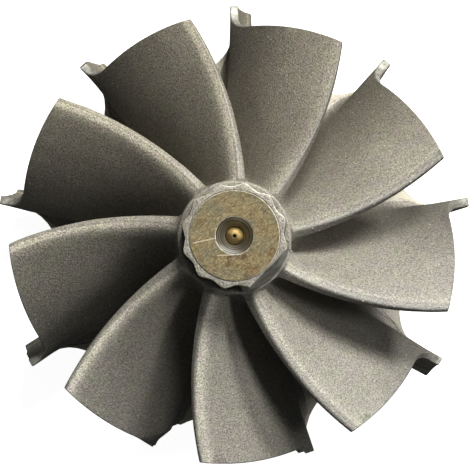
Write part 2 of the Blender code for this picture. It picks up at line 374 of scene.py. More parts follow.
class Column:
    """One column of the skin: a place across the blade or the floor, followed from inducer to exducer."""

    def __init__(self, number, kind, place, side):
        self.number = number
        self.kind = kind
        self.place = place
        self.side = side
        self.on_blade = kind != "floor" or place == 0
        self.find_points()

    def fibre(self, share):
        """Radius and height of the column's line before it is moved off the blade's middle."""
        if self.kind == "floor":
            return hub_line(share, TRAILING_FILLET)
        lift = 0.0
        span = 1.0
        if self.kind == "fillet":
            turn = math.radians(90 * self.place)
            lift = TRAILING_FILLET * (1 - math.sin(turn))
            span = self.fillet_span(share) * (1 - math.cos(turn))
        elif self.kind == "blade":
            low = self.fillet_span(share)
            edge = 1 - EDGE_BEVEL / self.length(share)
            span = low + (edge - low) * self.place
        hub_radius, hub_height = hub_line(share, lift)
        tip_radius, tip_height = shroud_line(share)
        return hub_radius + (tip_radius - hub_radius) * span, hub_height + (tip_height - hub_height) * span

    @staticmethod
    def length(share):
        hub_radius, hub_height = hub_line(share, 0.0)
        tip_radius, tip_height = shroud_line(share)
        return np.hypot(tip_radius - hub_radius, tip_height - hub_height)

    def fillet_span(self, share):
        return fillet_radius(share) / self.length(share)

    def floor_angle(self, foot):
        """Angle from the blade's middle to a floor column, by the angle to the fillet's foot."""
        return foot + (PITCH / 2 - foot) * self.place

    def start(self):
        """The share at which the column leaves the blade's inlet edge or the scallop."""
        broken = break_share(self.number, self.fibre, self.side)
        if self.on_blade:
            return broken
        radius = self.fibre(SCALLOP_SEARCH)[0]
        outline = scallop_radius(self.floor_angle(foot_angle(SCALLOP_SEARCH, 0.0)))
        return max(broken, float(SCALLOP_SEARCH[np.argmax(radius <= outline)]))

    def find_points(self):
        start = self.start()
        broken = self.number in BROKEN_TIPS and self.kind != "floor"
        bevel = BREAK_BEVEL if broken else EDGE_BEVEL
        span = self.place if self.kind in ("blade", "edge") else 0.0
        tip_round, root_round, stretch = UPPER_ROUND if self.side == 1 else LOWER_ROUND
        rounding = tip_round + (root_round - tip_round) * (1 - span) ** THICKENING_POWER
        end_gap = stretch * rounding / speed(self.fibre, 1.0)
        share, inset = rows_along(start, bevel / speed(self.fibre, start), end_gap, rounding)
        radius, height = self.fibre(share)
        tip_angle = FIRST_TIP_ANGLE - PITCH * (self.number - 1)
        if self.kind == "floor":
            angle = tip_angle - wrap(height) + self.side * self.floor_angle(foot_angle(share, inset))
        else:
            lead = radius * wrap_slope(height)
            rise = 1.0
            if self.kind == "fillet":
                turn = math.radians(90 * self.place)
                rise = self.place
                gap = fillet_radius(share) * (1 - math.sin(turn))
                offset = half_thickness(share, 0.0) + gap
            elif self.kind == "blade":
                span = self.fillet_span(share) + (1 - self.fillet_span(share)) * self.place
                offset = half_thickness(share, span)
            else:
                offset = half_thickness(share, 1.0) - EDGE_BEVEL
            offset = offset - inset
            if self.kind != "fillet" and not broken:
                offset[0] = max(offset[0] - EDGE_BEVEL, 0.1)
            reach = np.hypot(1, lead) / (1 + rise * lead**2)
            angle = tip_angle - wrap(height) + self.side * np.degrees(offset * reach / radius)
            bend = BENT_TIPS.get(self.number, 0.0) * smooth_step(BEND_START, INDUCER_RADIUS, radius)
            angle = angle + bend * smooth_step(*BEND_HEIGHTS, height)
            height = height + self.side * offset * reach * rise * lead
        self.from_camber = self.side * self.floor_angle(float(foot_angle(share[0], 0.0)))
        turn = np.radians(angle)
        self.angle = angle
        self.xyz = np.stack([radius * np.cos(turn), radius * np.sin(turn), height], axis=1)
        self.share = share
        self.radius = radius


def blade_columns(number):
    """The columns of one blade's period, counterclockwise from the middle of the passage before it."""
    turns = [math.radians(90 * step / FLOOR_COLUMNS) for step in range(FLOOR_COLUMNS, -1, -1)]
    across = [("floor", 1 - math.cos(turn)) for turn in turns]
    for kind, count in (("fillet", FILLET_COLUMNS), ("blade", BLADE_COLUMNS), ("edge", 1)):
        across += [(kind, step / count) for step in range(1, count + 1)]
    before = [Column(number, kind, place, -1) for kind, place in across]
    return before + [Column(number, kind, place, 1) for kind, place in reversed(across[1:])]


class Skin:
    """Collects points and faces of the one closed mesh."""

    def __init__(self):
        self.points = []
        self.faces = []
        self.slots = []

    def add(self, points):
        first = len(self.points)
        self.points.extend(tuple(point) for point in points)
        return list(range(first, first + len(points)))

    def face(self, corners, slot):
        self.faces.append(tuple(corners))
        self.slots.append(slot)

    def extend(self, ring, points, slot, down=False):
        """A new ring of points above or below the last one, joined to it by quads."""
        added = self.add(points)
        low, high = (added, ring) if down else (ring, added)
        for step in range(len(ring)):
            after = (step + 1) % len(ring)
            self.face((low[step], low[after], high[after], high[step]), slot)
        return added

    def cap(self, ring, centre, slot, turned):
        """Triangles from a ring to one point."""
        point = self.add([centre])[0]
        for here, after in zip(ring, ring[1:] + ring[:1]):
            self.face((here, point, after) if turned else (here, after, point), slot)

    def lace(self, low, low_angles, high, high_angles, slot):
        """Band of triangles between two rings of unequal length, joined by their angles."""
        start = low_angles[0]
        low_turn = [(angle - start) % 360 for angle in low_angles] + [360.0]
        first = min(range(len(high)), key=lambda step: (high_angles[step] - start) % 360)
        high_turn = [(angle - start) % 360 for angle in high_angles[first:] + high_angles[:first]]
        high_turn.append(360.0 + high_turn[0])
        low_end, high_end = len(low), len(high)
        low = low + low[:1]
        high = high[first:] + high[: first + 1]
        near = 0
        far = 0
        while near < low_end or far < high_end:
            if near < low_end and (far == high_end or low_turn[near + 1] <= high_turn[far + 1]):
                self.face((low[near], low[near + 1], high[far]), slot)
                near += 1
            else:
                self.face((low[near], high[far + 1], high[far]), slot)
                far += 1


def add_blades(skin):
    """Blade faces, fillets and passage floors. Returns the columns with the index of every point."""
    ring = []
    for number in range(BLADES, 0, -1):
        for column in blade_columns(number):
            column.ids = skin.add(column.xyz)
            ring.append(column)
    for here, after in zip(ring, ring[1:] + ring[:1]):
        slot = STRIP if here.kind == "edge" and after.kind == "edge" else CAST
        for row in range(len(here.ids) - 1):
            skin.face((here.ids[row], after.ids[row], after.ids[row + 1], here.ids[row + 1]), slot)
    return ring


def close_blade_ends(skin, ring):
    """Leading and trailing faces of each blade, between its two sides."""
    for number in range(1, BLADES + 1):
        own = [column for column in ring if column.number == number and column.on_blade]
        pairs = list(zip(own, own[::-1]))[: len(own) // 2]
        leading = BREAK if number in BROKEN_TIPS else CAST
        for (low, low_behind), (high, high_behind) in zip(pairs, pairs[1:]):
            skin.face([column.ids[0] for column in (low, low_behind, high_behind, high)], leading)
            skin.face([column.ids[-1] for column in (low, high, high_behind, low_behind)], CAST)


def back_height(radius):
    """The disc's back: a shallow cone from the boss out to the rim."""
    inner = BOSS_RADIUS + BACK_FILLET
    low = DISC_BACK - BACK_RISE
    return low + BACK_RISE * (radius - inner) / (DISC_RADIUS - inner)


def polar_point(radius, degrees, height):
    turn = math.radians(degrees)
    return (radius * math.cos(turn), radius * math.sin(turn), height)


def add_disc_edge(skin, floor):
    """The scalloped edge of the disc, below the passage floors. Returns its lowest ring."""
    upper = [column.ids[0] for column in floor]
    for drop, inset in EDGE_ROWS:
        points = []
        for column in floor:
            radius = float(column.radius[0])
            top = float(column.xyz[0][2])
            level = top + (float(back_height(radius)) - top) * drop
            angle = FIRST_TIP_ANGLE - PITCH * (column.number - 1) + column.from_camber
            points.append(polar_point(radius - inset, angle - float(wrap(np.array(level))), level))
        upper = skin.extend(upper, points, CAST, down=True)
    return upper


def add_back(skin, floor):
    """The disc's edge, its back, the boss and the weld face."""
    upper = add_disc_edge(skin, floor)
    count = len(floor)
    angles = [math.degrees(math.atan2(skin.points[index][1], skin.points[index][0])) for index in upper]
    unrolled = [angles[0] + (angle - angles[0]) % 360 for angle in angles]
    even = [angles[0] + 360 * step / count for step in range(count)]
    offset = sum(near - far for near, far in zip(unrolled, even)) / count
    even = [angle + offset for angle in even]
    outer_radii = [float(column.radius[0]) - EDGE_ROWS[-1][1] for column in floor]
    for step in range(1, EVEN_ROWS + 1):
        share = step / EVEN_ROWS
        blend = float(smooth_step(0.0, 1.0, share))
        points = []
        for outer, first, last in zip(outer_radii, unrolled, even):
            radius = outer + (EVEN_RADIUS - outer) * share
            points.append(polar_point(radius, first + (last - first) * blend, float(back_height(radius))))
        upper = skin.extend(upper, points, BACK, down=True)
    profile = [(radius, float(back_height(radius))) for radius in BACK_RINGS]
    for step in range(BACK_FILLET_ROWS + 1):
        turn = math.radians(90 * step / BACK_FILLET_ROWS)
        radius = BOSS_RADIUS + BACK_FILLET * (1 - math.sin(turn))
        profile.append((radius, DISC_BACK - BACK_RISE - BACK_FILLET * (1 - math.cos(turn))))
    profile += [
        (BOSS_RADIUS, BOSS_EDGE),
        (BOSS_RADIUS - 0.3 * BOSS_EDGE, 0.3 * BOSS_EDGE),
        (BOSS_RADIUS - BOSS_EDGE, 0.0),
        *((radius, 0.0) for radius in WELD_RINGS),
    ]
    for radius, height in profile:
        points = [polar_point(radius, angle, height) for angle in even]
        upper = skin.extend(upper, points, WELD if height < BOSS_EDGE else BACK, down=True)
    skin.cap(upper, (0, 0, 0), WELD, turned=True)


def boss_radius(degrees, level):
    """Outline of the twelve-point boss: level 0 is its foot and 1 its top."""
    arc = 360 / NOSE_POINTS
    along = ((degrees - NOSE_POINT_ANGLE) % arc) / arc
    hollow = math.sin(math.pi * along) ** NOSE_HOLLOW_POWER
    radius = NOSE_CORNER_RADIUS - (NOSE_CORNER_RADIUS - NOSE_VALLEY_RADIUS) * hollow
    inside = past_cut_end(degrees, level)
    if inside > -CUT_BLEND:
        top = CUT_TOP_DISTANCE / math.cos(math.radians(degrees - CUT_MIDDLE))
        cut = CUT_FOOT_RADIUS + (top - CUT_FOOT_RADIUS) * level
        radius = radius + (cut - radius) * float(smooth_step(-CUT_BLEND, CUT_BLEND, inside))
    return radius


def past_cut_end(degrees, level):
    """Degrees from the balance cut's nearest end at this level, above zero inside the cut."""
    away = abs((degrees - CUT_MIDDLE + 180) % 360 - 180)
    return CUT_FOOT_REACH + (CUT_TOP_REACH - CUT_FOOT_REACH) * level - away


def rim_points(inset, height):
    """One ring of the hub's rim, with the bead of metal that sticks to it."""
    near = math.exp(-(((height - RIM_HEIGHT) / BEAD_HALF_HEIGHT) ** 2))
    points = []
    for angle in NOSE_ANGLES:
        apart = (angle - BEAD_ANGLE + 180) % 360 - 180
        bead = BEAD_SIZE * math.exp(-((apart / BEAD_HALF_ANGLE) ** 2)) * near
        points.append(polar_point(HUB_RADIUS - inset + bead, angle, height))
    return points


def add_rim(skin, floor):
    """The hub above the blades and its round rim. Returns the rim's last ring."""
    low = [column.ids[-1] for column in floor]
    low_angles = [float(column.angle[-1]) for column in floor]
    upper = skin.add(rim_points(0.0, RIM_HEIGHT - RIM_ROUND - RIM_UPRIGHT))
    skin.lace(low, low_angles, upper, NOSE_ANGLES, CAST)
    for step in range(RIM_ROWS):
        turn = math.radians(90 * step / (RIM_ROWS - 1))
        points = rim_points(RIM_ROUND * (1 - math.cos(turn)), RIM_HEIGHT - RIM_ROUND * (1 - math.sin(turn)))
        upper = skin.extend(upper, points, CAST)
    return upper


def add_boss(skin, upper):
    """The twelve-point boss with its balance cut and the bevel round its top. Returns the last ring."""
    side = NOSE_TOP - RIM_HEIGHT
    rows = [(level, outset, RIM_HEIGHT + rise) for level, outset, rise in BOSS_FOOT_ROWS]
    rows += [(level, 0.0, RIM_HEIGHT + side * level) for level in BOSS_SIDE_LEVELS]
    rows += [(level, outset, NOSE_TOP - drop) for level, outset, drop in BOSS_TOP_ROWS]
    half_column = 180 / NOSE_COLUMNS
    for level, outset, height in rows:
        points = [polar_point(boss_radius(angle, level) + outset, angle, height) for angle in NOSE_ANGLES]
        after = skin.add(points)
        for step, angle in enumerate(NOSE_ANGLES):
            across = (step + 1) % NOSE_COLUMNS
            slot = CHAMFER if level == 1.0 else NOSE
            if past_cut_end(angle + half_column, level) > 0:
                slot = GROUND
            skin.face((upper[step], upper[across], after[across], after[step]), slot)
        upper = after
    return upper


def add_face(skin, upper):
    """The groove round the machined face, the face, and the centre drilling with collar and pilot hole."""
    profile = [
        (NOSE_FACE_RADIUS + GROOVE_LIP, NOSE_TOP, NOSE),
        (NOSE_FACE_RADIUS + GROOVE_OUTER, NOSE_TOP - NOSE_GROOVE, CAST),
        (NOSE_FACE_RADIUS + GROOVE_INNER, NOSE_TOP - NOSE_GROOVE, CAST),
        (NOSE_FACE_RADIUS, NOSE_FACE - NOSE_CHAMFER, CHAMFER),
        (NOSE_FACE_RADIUS - NOSE_CHAMFER, NOSE_FACE, CHAMFER),
        *((radius, NOSE_FACE, FACE) for radius in FACE_RINGS),
        (CENTRE_RADIUS + CENTRE_CHAMFER, NOSE_FACE, FACE),
        (CENTRE_RADIUS, NOSE_FACE - CENTRE_CHAMFER, CHAMFER),
    ]
    for step in range(1, CONE_ROWS + 1):
        share = step / CONE_ROWS
        radius = CENTRE_RADIUS + (COLLAR_RADIUS - CENTRE_RADIUS) * share
        depth = CENTRE_CHAMFER + (CENTRE_CONE_DEPTH - CENTRE_CHAMFER) * share
        profile.append((radius, NOSE_FACE - depth, CONE))
    for share in COLLAR_ROWS:
        turn = math.radians(90 * share)
        radius = COLLAR_INNER_RADIUS + (COLLAR_RADIUS - COLLAR_INNER_RADIUS) * math.cos(turn)
        profile.append((radius, NOSE_FACE - CENTRE_CONE_DEPTH + COLLAR_RISE * math.sin(turn), PILOT))
    for depth in (CENTRE_CONE_DEPTH - COLLAR_RISE + 0.1, CENTRE_CONE_DEPTH, PILOT_DEPTH):
        profile.append((PILOT_RADIUS, NOSE_FACE - depth, PILOT))
    for share in PILOT_POINT_ROWS:
        depth = PILOT_DEPTH + (PILOT_POINT_DEPTH - PILOT_DEPTH) * share
        profile.append((PILOT_RADIUS * (1 - share), NOSE_FACE - depth, PILOT))
    for radius, height, slot in profile:
        upper = skin.extend(upper, [polar_point(radius, angle, height) for angle in NOSE_ANGLES], slot)
    skin.cap(upper, (0, 0, NOSE_FACE - PILOT_POINT_DEPTH), PILOT, turned=False)


def add_casting_waves(mesh, moving):
    """Slight unevenness of the cast skin, a few hundredths of a millimetre."""
    places = np.empty((len(moving), 3))
    normals = np.empty((len(moving), 3), np.float32)
    mesh.vertices.foreach_get("co", places.ravel())
    mesh.vertex_normals.foreach_get("vector", normals.ravel())
    for index in np.flatnonzero(moving):
        place = Vector(places[index]) / MM
        wave = sum(noise.noise(place * often + Vector(shift)) * size for often, size, shift in CASTING_WAVES)
        places[index] += normals[index] * wave * MM
    mesh.vertices.foreach_set("co", places.ravel())
    mesh.update()


def add_object(name, data):
    added = bpy.data.objects.new(name, data)
    bpy.context.scene.collection.objects.link(added)
    return added


def build_wheel():
    skin = Skin()
    ring = add_blades(skin)
    close_blade_ends(skin, ring)
    floor = [column for column in ring if column.kind == "floor"]
    add_back(skin, floor)
    add_face(skin, add_boss(skin, add_rim(skin, floor)))
    mesh = bpy.data.meshes.new("turbine_wheel")
    mesh.from_pydata([Vector(point) * MM for point in skin.points], [], skin.faces)
    mesh.update()
    for material in wheel_materials():
        mesh.materials.append(material)
    for polygon, slot in zip(mesh.polygons, skin.slots):
        polygon.material_index = slot
    count = len(skin.points)
    flow = np.full(count, NOSE_FLOW)
    lit_floor = np.zeros(count)
    moving = np.zeros(count, bool)
    for column in ring:
        ids = np.array(column.ids)
        flow[ids] = column.share
        # Floor columns get a share of painted light that grows towards the rim
        if column.kind == "floor":
            lit_floor[ids] = smooth_step(*LIT_FLOOR_RADII, column.radius)
        if column.kind != "edge":
            moving[ids[2:-2]] = True
    for name, values in (("flow", flow), ("lit_floor", lit_floor)):
        mesh.attributes.new(name, "FLOAT", "POINT").data.foreach_set("value", values)
    add_casting_waves(mesh, moving)
    mesh.shade_smooth()
    mesh.set_sharp_from_angle(angle=math.radians(SHARP_ANGLE))
    wheel = add_object("turbine_wheel", mesh)
    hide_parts("turbine_wheel_casting")
    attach(wheel, "root")


class Shade:
    """One material's node tree, with short ways to add and join nodes. Sizes are in millimetres."""

    def __init__(self, name):
        self.material = bpy.data.materials.new(name)
        self.material.use_nodes = True
        self.nodes = self.material.node_tree.nodes
        self.shader = self.nodes["Principled BSDF"]
        self.place = self.nodes.new("ShaderNodeTexCoord").outputs["Object"]

    def join(self, source, socket):
        if isinstance(source, bpy.types.NodeSocket):
            self.material.node_tree.links.new(source, socket)
        else:
            socket.default_value = source

    def node(self, kind, **inputs):
        """A new node with these inputs set or joined."""
        node = self.nodes.new("ShaderNode" + kind)
        for name, value in inputs.items():
            self.join(value, node.inputs[name.replace("_", " ")])
        return node

    def moved(self, turn, scale, start=(0, 0, 0)):
        """Coordinates from this start, turned about the axis and divided by the scale."""
        turned = (0, 0, math.radians(turn))
        node = self.node("Mapping", Vector=self.place, Location=start, Rotation=turned, Scale=scale)
        node.vector_type = "TEXTURE"
        return node.outputs["Vector"]

    def towards(self, turn):
        """How far a point lies from the axis in this direction."""
        return self.part(self.moved(turn, (1, 1, 1)), 0)

    def away(self, x, y):
        """Distance in plan from a point given in millimetres."""
        flat = self.operate("VectorMath", "MULTIPLY", self.place, (1, 1, 0)).outputs["Vector"]
        return self.operate("VectorMath", "DISTANCE", flat, (x * MM, y * MM, 0)).outputs["Value"]

    def noise(self, size, detail, rough, place=None):
        """Noise from 0 to 1 whose patches have about this size."""
        often = 1 / (size * MM)
        node = self.node("TexNoise", Vector=place or self.place, Scale=often, Detail=detail, Roughness=rough)
        return node.outputs["Fac"]

    def stripes(self, pitch, turn, wander):
        """Straight bands from 0 to 1 with this pitch, square to the turned X, that wander a little."""
        place = self.moved(turn, (1, 1, 1))
        node = self.node("TexWave", Vector=place, Distortion=wander, Detail=2.0, Detail_Scale=0.6)
        node.inputs["Scale"].default_value = math.pi / 10 / (pitch * MM)
        return node.outputs["Fac"]

    def dots(self, pitch, left_out, outer, inner=None):
        """Scattered dots, of which a share is left out: soft between two radii in cells, or sharp at one."""
        node = self.node("TexVoronoi", Vector=self.place, Scale=1 / (pitch * MM))
        distance = node.outputs["Distance"]
        chance = self.part(node.outputs["Color"], 0)
        dot = self.ramp(distance, outer, inner) if inner else self.calculate("LESS_THAN", distance, outer)
        return self.times(dot, self.calculate("GREATER_THAN", chance, left_out))

    def part(self, vector, index):
        return self.node("SeparateXYZ", Vector=vector).outputs[index]

    def attribute(self, name):
        node = self.node("Attribute")
        node.attribute_name = name
        return node.outputs["Fac"]

    def ramp(self, value, low, high, to_low=0.0, to_high=1.0, smooth=True):
        """The value's place between low and high, as a number between the two results."""
        node = self.node("MapRange")
        node.interpolation_type = "SMOOTHSTEP" if smooth else "LINEAR"
        for place, number in enumerate((value, low, high, to_low, to_high)):
            self.join(number, node.inputs[place])
        return node.outputs[0]

    def curve(self, value, stops):
        """A number that follows these stops of place and height."""
        node = self.node("FloatCurve", Value=value)
        line = node.mapping.curves[0]
        for place, height in stops[1:-1]:
            line.points.new(place, height)
        line.points[0].location = stops[0]
        line.points[-1].location = stops[-1]
        node.mapping.update()
        return node.outputs["Value"]

    def operate(self, kind, operation, first, second):
        node = self.node(kind)
        node.operation = operation
        self.join(first, node.inputs[0])
        self.join(second, node.inputs[1])
        return node

    def calculate(self, operation, first, second):
        return self.operate("Math", operation, first, second).outputs[0]

    def times(self, *factors):
        """The product of two or more numbers."""
        product = factors[0]
        for factor in factors[1:]:
            product = self.calculate("MULTIPLY", product, factor)
        return product

    def changed(self, value, share, change):
        """The value, made larger by this part of itself where the share is one."""
        return self.times(value, self.calculate("ADD", 1.0, self.times(share, change)))

    def mix(self, share, first, second, blend="MIX"):
        node = self.node("Mix")
        node.data_type = "RGBA"
        node.blend_type = blend
        self.join(share, node.inputs["Factor"])
        for source, name in ((first, "A"), (second, "B")):
            socket = next(item for item in node.inputs if item.name == name and item.type == "RGBA")
            self.join(source if isinstance(source, bpy.types.NodeSocket) else (*source, 1), socket)
        return next(item for item in node.outputs if item.type == "RGBA")

    def tint(self, colour, factor):
        """The colour times a number."""
        node = self.node("VectorMath")
        node.operation = "SCALE"
        self.join(colour, node.inputs[0])
        self.join(factor, node.inputs["Scale"])
        return node.outputs[0]

    def finish(self, colour, metallic, roughness, height, depth):
        """Joins the results to the shader. Depth is the relief's height in millimetres."""
        bump = self.node("Bump", Distance=depth * MM, Height=height).outputs["Normal"]
        results = {"Base Color": colour, "Metallic": metallic, "Roughness": roughness, "Normal": bump}
        for name, value in results.items():
            self.join(value, self.shader.inputs[name])
        return self.material


# Cast skin: its colours, how much it shines, and the sizes of its patches, grain, bright specks and dark pits
OLIVE_SKIN = (0.286, 0.273, 0.211)
MAUVE_SKIN = (0.284, 0.257, 0.217)
WARM_TINT = (1.02, 1.0, 0.955)
COOL_TINT = (0.985, 1.0, 1.03)
SPECK = (0.80, 0.76, 0.66)
PIT = (0.05, 0.045, 0.035)
CAST_METALLIC = 0.15
CAST_SHEEN = 0.85
CLOUD_SIZE = 14.0
PATCH_SIZE = 3.0
GRAIN_SIZE = 0.30
FINE_GRAIN_SIZE = 0.19
SPECK_PITCH = 1.5
PIT_PITCH = 0.9

# Directions in which the polished trailing edges and the line along them are lightest, as painted light and
# shade by side, and of the coolest skin; how far from the axis each changes, and by how much the first two
# are darker and lighter
BAND_LIGHT_ANGLE = 200.0
BAND_LIGHT_REACH = 25.0
BAND_LIGHT_CHANGE = (-0.22, 0.42)
LINE_LIGHT_ANGLE = 155.0
LINE_LIGHT_REACH = 33.0
LINE_LIGHT_CHANGE = (-0.42, 0.48)
TINT_ANGLE = -80.0
TINT_REACH = (-35.0, 25.0)

# Where along the flow the polished band and the painted line of light and shade at the trailing edge begin
# and are full, and how much smoother the band is
POLISHED_BAND = (0.90, 0.98)
POLISH = 0.08
EDGE_LINE = (0.955, 0.97)

# How light the cast skin is along the flow, from the inducer to the exducer, half of the real factor. Its low
# stretch in the middle of the passages and its drop at the trailing end face are painted shade
SKIN_TONE_AND_SHADE = (
    (0.0, 0.52), (0.15, 0.44), (0.3, 0.31), (0.45, 0.37), (0.6, 0.46), (0.75, 0.54), (0.88, 0.56),
    (0.92, 0.60), (0.95, 0.72), (0.965, 0.80), (0.982, 0.80), (0.992, 0.44), (1.0, 0.35),
)

# Painted light on the passage floor near the rim: how much lighter it is, and how much of the grain it loses
LIT_FLOOR_TONE = 2.5
LIT_FLOOR_SMOOTHING = 0.7

# Painted shade in the corner at the boss's foot: how far up it reaches, and how dark it is
FOOT_SHADE_REACH = 3.0
FOOT_SHADE_TONE = 0.74


def flow_light_shade_and_polish(shade, light, roughness):
    """Changes along the flow: painted shade on dark stretches, painted light near the rim, the polish, and
    painted light and shade by side at the trailing edge.
    """
    flow = shade.attribute("flow")
    lit_floor = shade.attribute("lit_floor")
    evener = shade.times(shade.calculate("SUBTRACT", 1.0, light), shade.times(lit_floor, LIT_FLOOR_SMOOTHING))
    light = shade.calculate("ADD", light, evener)
    # Partly painted shade: the curve darkens the middle of the passages and the trailing end face
    light = shade.times(light, shade.times(shade.curve(flow, SKIN_TONE_AND_SHADE), 2.0))
    # Painted light: the passage floor near the rim is made lighter
    light = shade.times(light, shade.ramp(lit_floor, 0.0, 1.0, 1.0, LIT_FLOOR_TONE))
    polished = shade.ramp(flow, *POLISHED_BAND)
    roughness = shade.calculate("SUBTRACT", roughness, shade.times(polished, POLISH))
    # Painted light and shade: the polished band is lighter on the side the light falls on and darker on the
    # other
    band_light = shade.ramp(shade.towards(BAND_LIGHT_ANGLE), -BAND_LIGHT_REACH * MM, BAND_LIGHT_REACH * MM, *BAND_LIGHT_CHANGE)
    light = shade.changed(light, polished, band_light)
    # Painted light and shade: the line at the trailing edge is lighter where its end faces the light, darker
    # where it faces away
    line_light = shade.ramp(shade.towards(LINE_LIGHT_ANGLE), -LINE_LIGHT_REACH * MM, LINE_LIGHT_REACH * MM, *LINE_LIGHT_CHANGE)
    light = shade.changed(light, shade.ramp(flow, *EDGE_LINE), line_light)
    return light, roughness


def cast_metal(name, tone, relief, along_flow=False, shaded_foot=False):
    """Investment-cast skin: mottled, grainy, with bright specks and small dark pits."""
    shade = Shade(name)
    patches = shade.noise(PATCH_SIZE, 1.0, 0.5)
    colour = shade.mix(shade.ramp(patches, 0.36, 0.64), OLIVE_SKIN, MAUVE_SKIN)
    grain = shade.noise(GRAIN_SIZE, 1.0, 0.5)
    fine = shade.noise(FINE_GRAIN_SIZE, 1.0, 0.5)
    clouds = shade.noise(CLOUD_SIZE, 2.0, 0.5)
    coarse_light = shade.ramp(grain, 0.3, 0.7, 0.55, 1.45, smooth=False)
    fine_light = shade.ramp(fine, 0.25, 0.75, 0.80, 1.20, smooth=False)
    light = shade.times(coarse_light, fine_light)
    roughness = shade.ramp(fine, 0.3, 0.7, 0.46, 0.66)
    if along_flow:
        light, roughness = flow_light_shade_and_polish(shade, light, roughness)
    # Painted shade low on the boss, in the corner at its foot
    if shaded_foot:
        above = shade.part(shade.place, 2)
        clear = (RIM_HEIGHT + FOOT_SHADE_REACH) * MM
        light = shade.times(light, shade.ramp(above, RIM_HEIGHT * MM, clear, FOOT_SHADE_TONE, 1.0))
    light = shade.times(light, shade.ramp(clouds, 0.3, 0.7, 0.92 * tone, 1.08 * tone))
    # Tint that turns from warmer on one side of the wheel to cooler on the other
    warm_end, cool_end = TINT_REACH
    cool = shade.ramp(shade.towards(TINT_ANGLE), warm_end * MM, cool_end * MM)
    colour = shade.mix(1.0, colour, shade.mix(cool, WARM_TINT, COOL_TINT), "MULTIPLY")
    colour = shade.tint(colour, light)
    colour = shade.mix(shade.times(shade.dots(SPECK_PITCH, 0.35, 0.10), 0.55), colour, SPECK)
    pits = shade.dots(PIT_PITCH, 0.7, 0.24, 0.10)
    colour = shade.mix(shade.times(pits, 0.5), colour, PIT)
    height = shade.calculate("ADD", shade.times(grain, 0.75), shade.times(fine, 0.25))
    height = shade.calculate("SUBTRACT", height, shade.times(pits, 0.3))
    shade.shader.inputs["Specular IOR Level"].default_value = CAST_SHEEN
    return shade.finish(colour, CAST_METALLIC, roughness, height, relief)


def turned_edge():
    """Machined shroud edge: light metal with fine turning marks, pitted."""
    shade = Shade("turned_edge")
    marks = shade.noise(0.10, 1.0, 0.5)
    patches = shade.noise(1.1, 2.0, 0.6)
    colour = shade.mix(shade.ramp(patches, 0.35, 0.65), (0.34, 0.335, 0.285), (0.57, 0.56, 0.49))
    pits = shade.dots(0.5, 0.6, 0.35, 0.15)
    colour = shade.mix(shade.times(pits, 0.75), colour, (0.10, 0.09, 0.06))
    height = shade.calculate("SUBTRACT", marks, pits)
    return shade.finish(colour, 0.35, shade.ramp(patches, 0.3, 0.7, 0.38, 0.55), height, 0.02)


def bright_chamfer():
    """Small machined bevels of the nose: bare metal, unevenly bright."""
    shade = Shade("bright_chamfer")
    patches = shade.noise(0.7, 2.0, 0.6)
    colour = shade.mix(shade.ramp(patches, 0.35, 0.65), (0.42, 0.38, 0.28), (0.86, 0.82, 0.68))
    return shade.finish(colour, 0.3, shade.ramp(patches, 0.3, 0.7, 0.3, 0.5), patches, 0.02)


# Direction of the grinding marks on the balance cut
CUT_MARK_ANGLE = 50.0


def ground_cut():
    """Balance cut: grey metal with grinding marks along the cut."""
    shade = Shade("ground_cut")
    marks = shade.noise(0.16, 2.0, 0.6, shade.moved(CUT_MARK_ANGLE, (9, 1, 1)))
    patches = shade.noise(2.2, 2.0, 0.5)
    colour = shade.mix(shade.ramp(marks, 0.3, 0.7), (0.12, 0.112, 0.092), (0.27, 0.256, 0.222))
    colour = shade.mix(shade.ramp(patches, 0.42, 0.62, 0.0, 0.75), colour, (0.40, 0.39, 0.355))
    return shade.finish(colour, 0.25, shade.ramp(marks, 0.3, 0.7, 0.4, 0.55), marks, 0.015)


# Nose face: two ends and half the width of each scratch, direction of the marks, pitch of the hatching, the
# side where more is burnt, and place and size of each rusty spot
SCRATCHES = (((-7.85, -1.43), (-3.55, -0.47), 0.13), ((-3.4, -3.75), (1.4, -3.5), 0.10))
NOSE_MARK_ANGLE = 34.0
NOSE_HATCH_PITCH = 0.36
BURNT_ANGLE = -70.0
RUST_SPOTS = ((-6.4, 2.3, 1.1), (3.6, -6.4, 1.8), (6.6, -3.4, 1.1))


def scratch_mask(shade, first, second, half):
    """One on the straight line between two points of the nose face."""
    run = Vector(second) - Vector(first)
    turn = math.degrees(math.atan2(run.y, run.x))
    place = shade.moved(turn, (MM, MM, MM), (first[0] * MM, first[1] * MM, 0))
    along = shade.part(place, 0)
    across = shade.calculate("ABSOLUTE", shade.part(place, 1), 0.0)
    begin = shade.ramp(along, 0.0, 0.3)
    end = shade.ramp(along, run.length, run.length - 0.3)
    return shade.times(shade.ramp(across, half, 0.5 * half), begin, end)


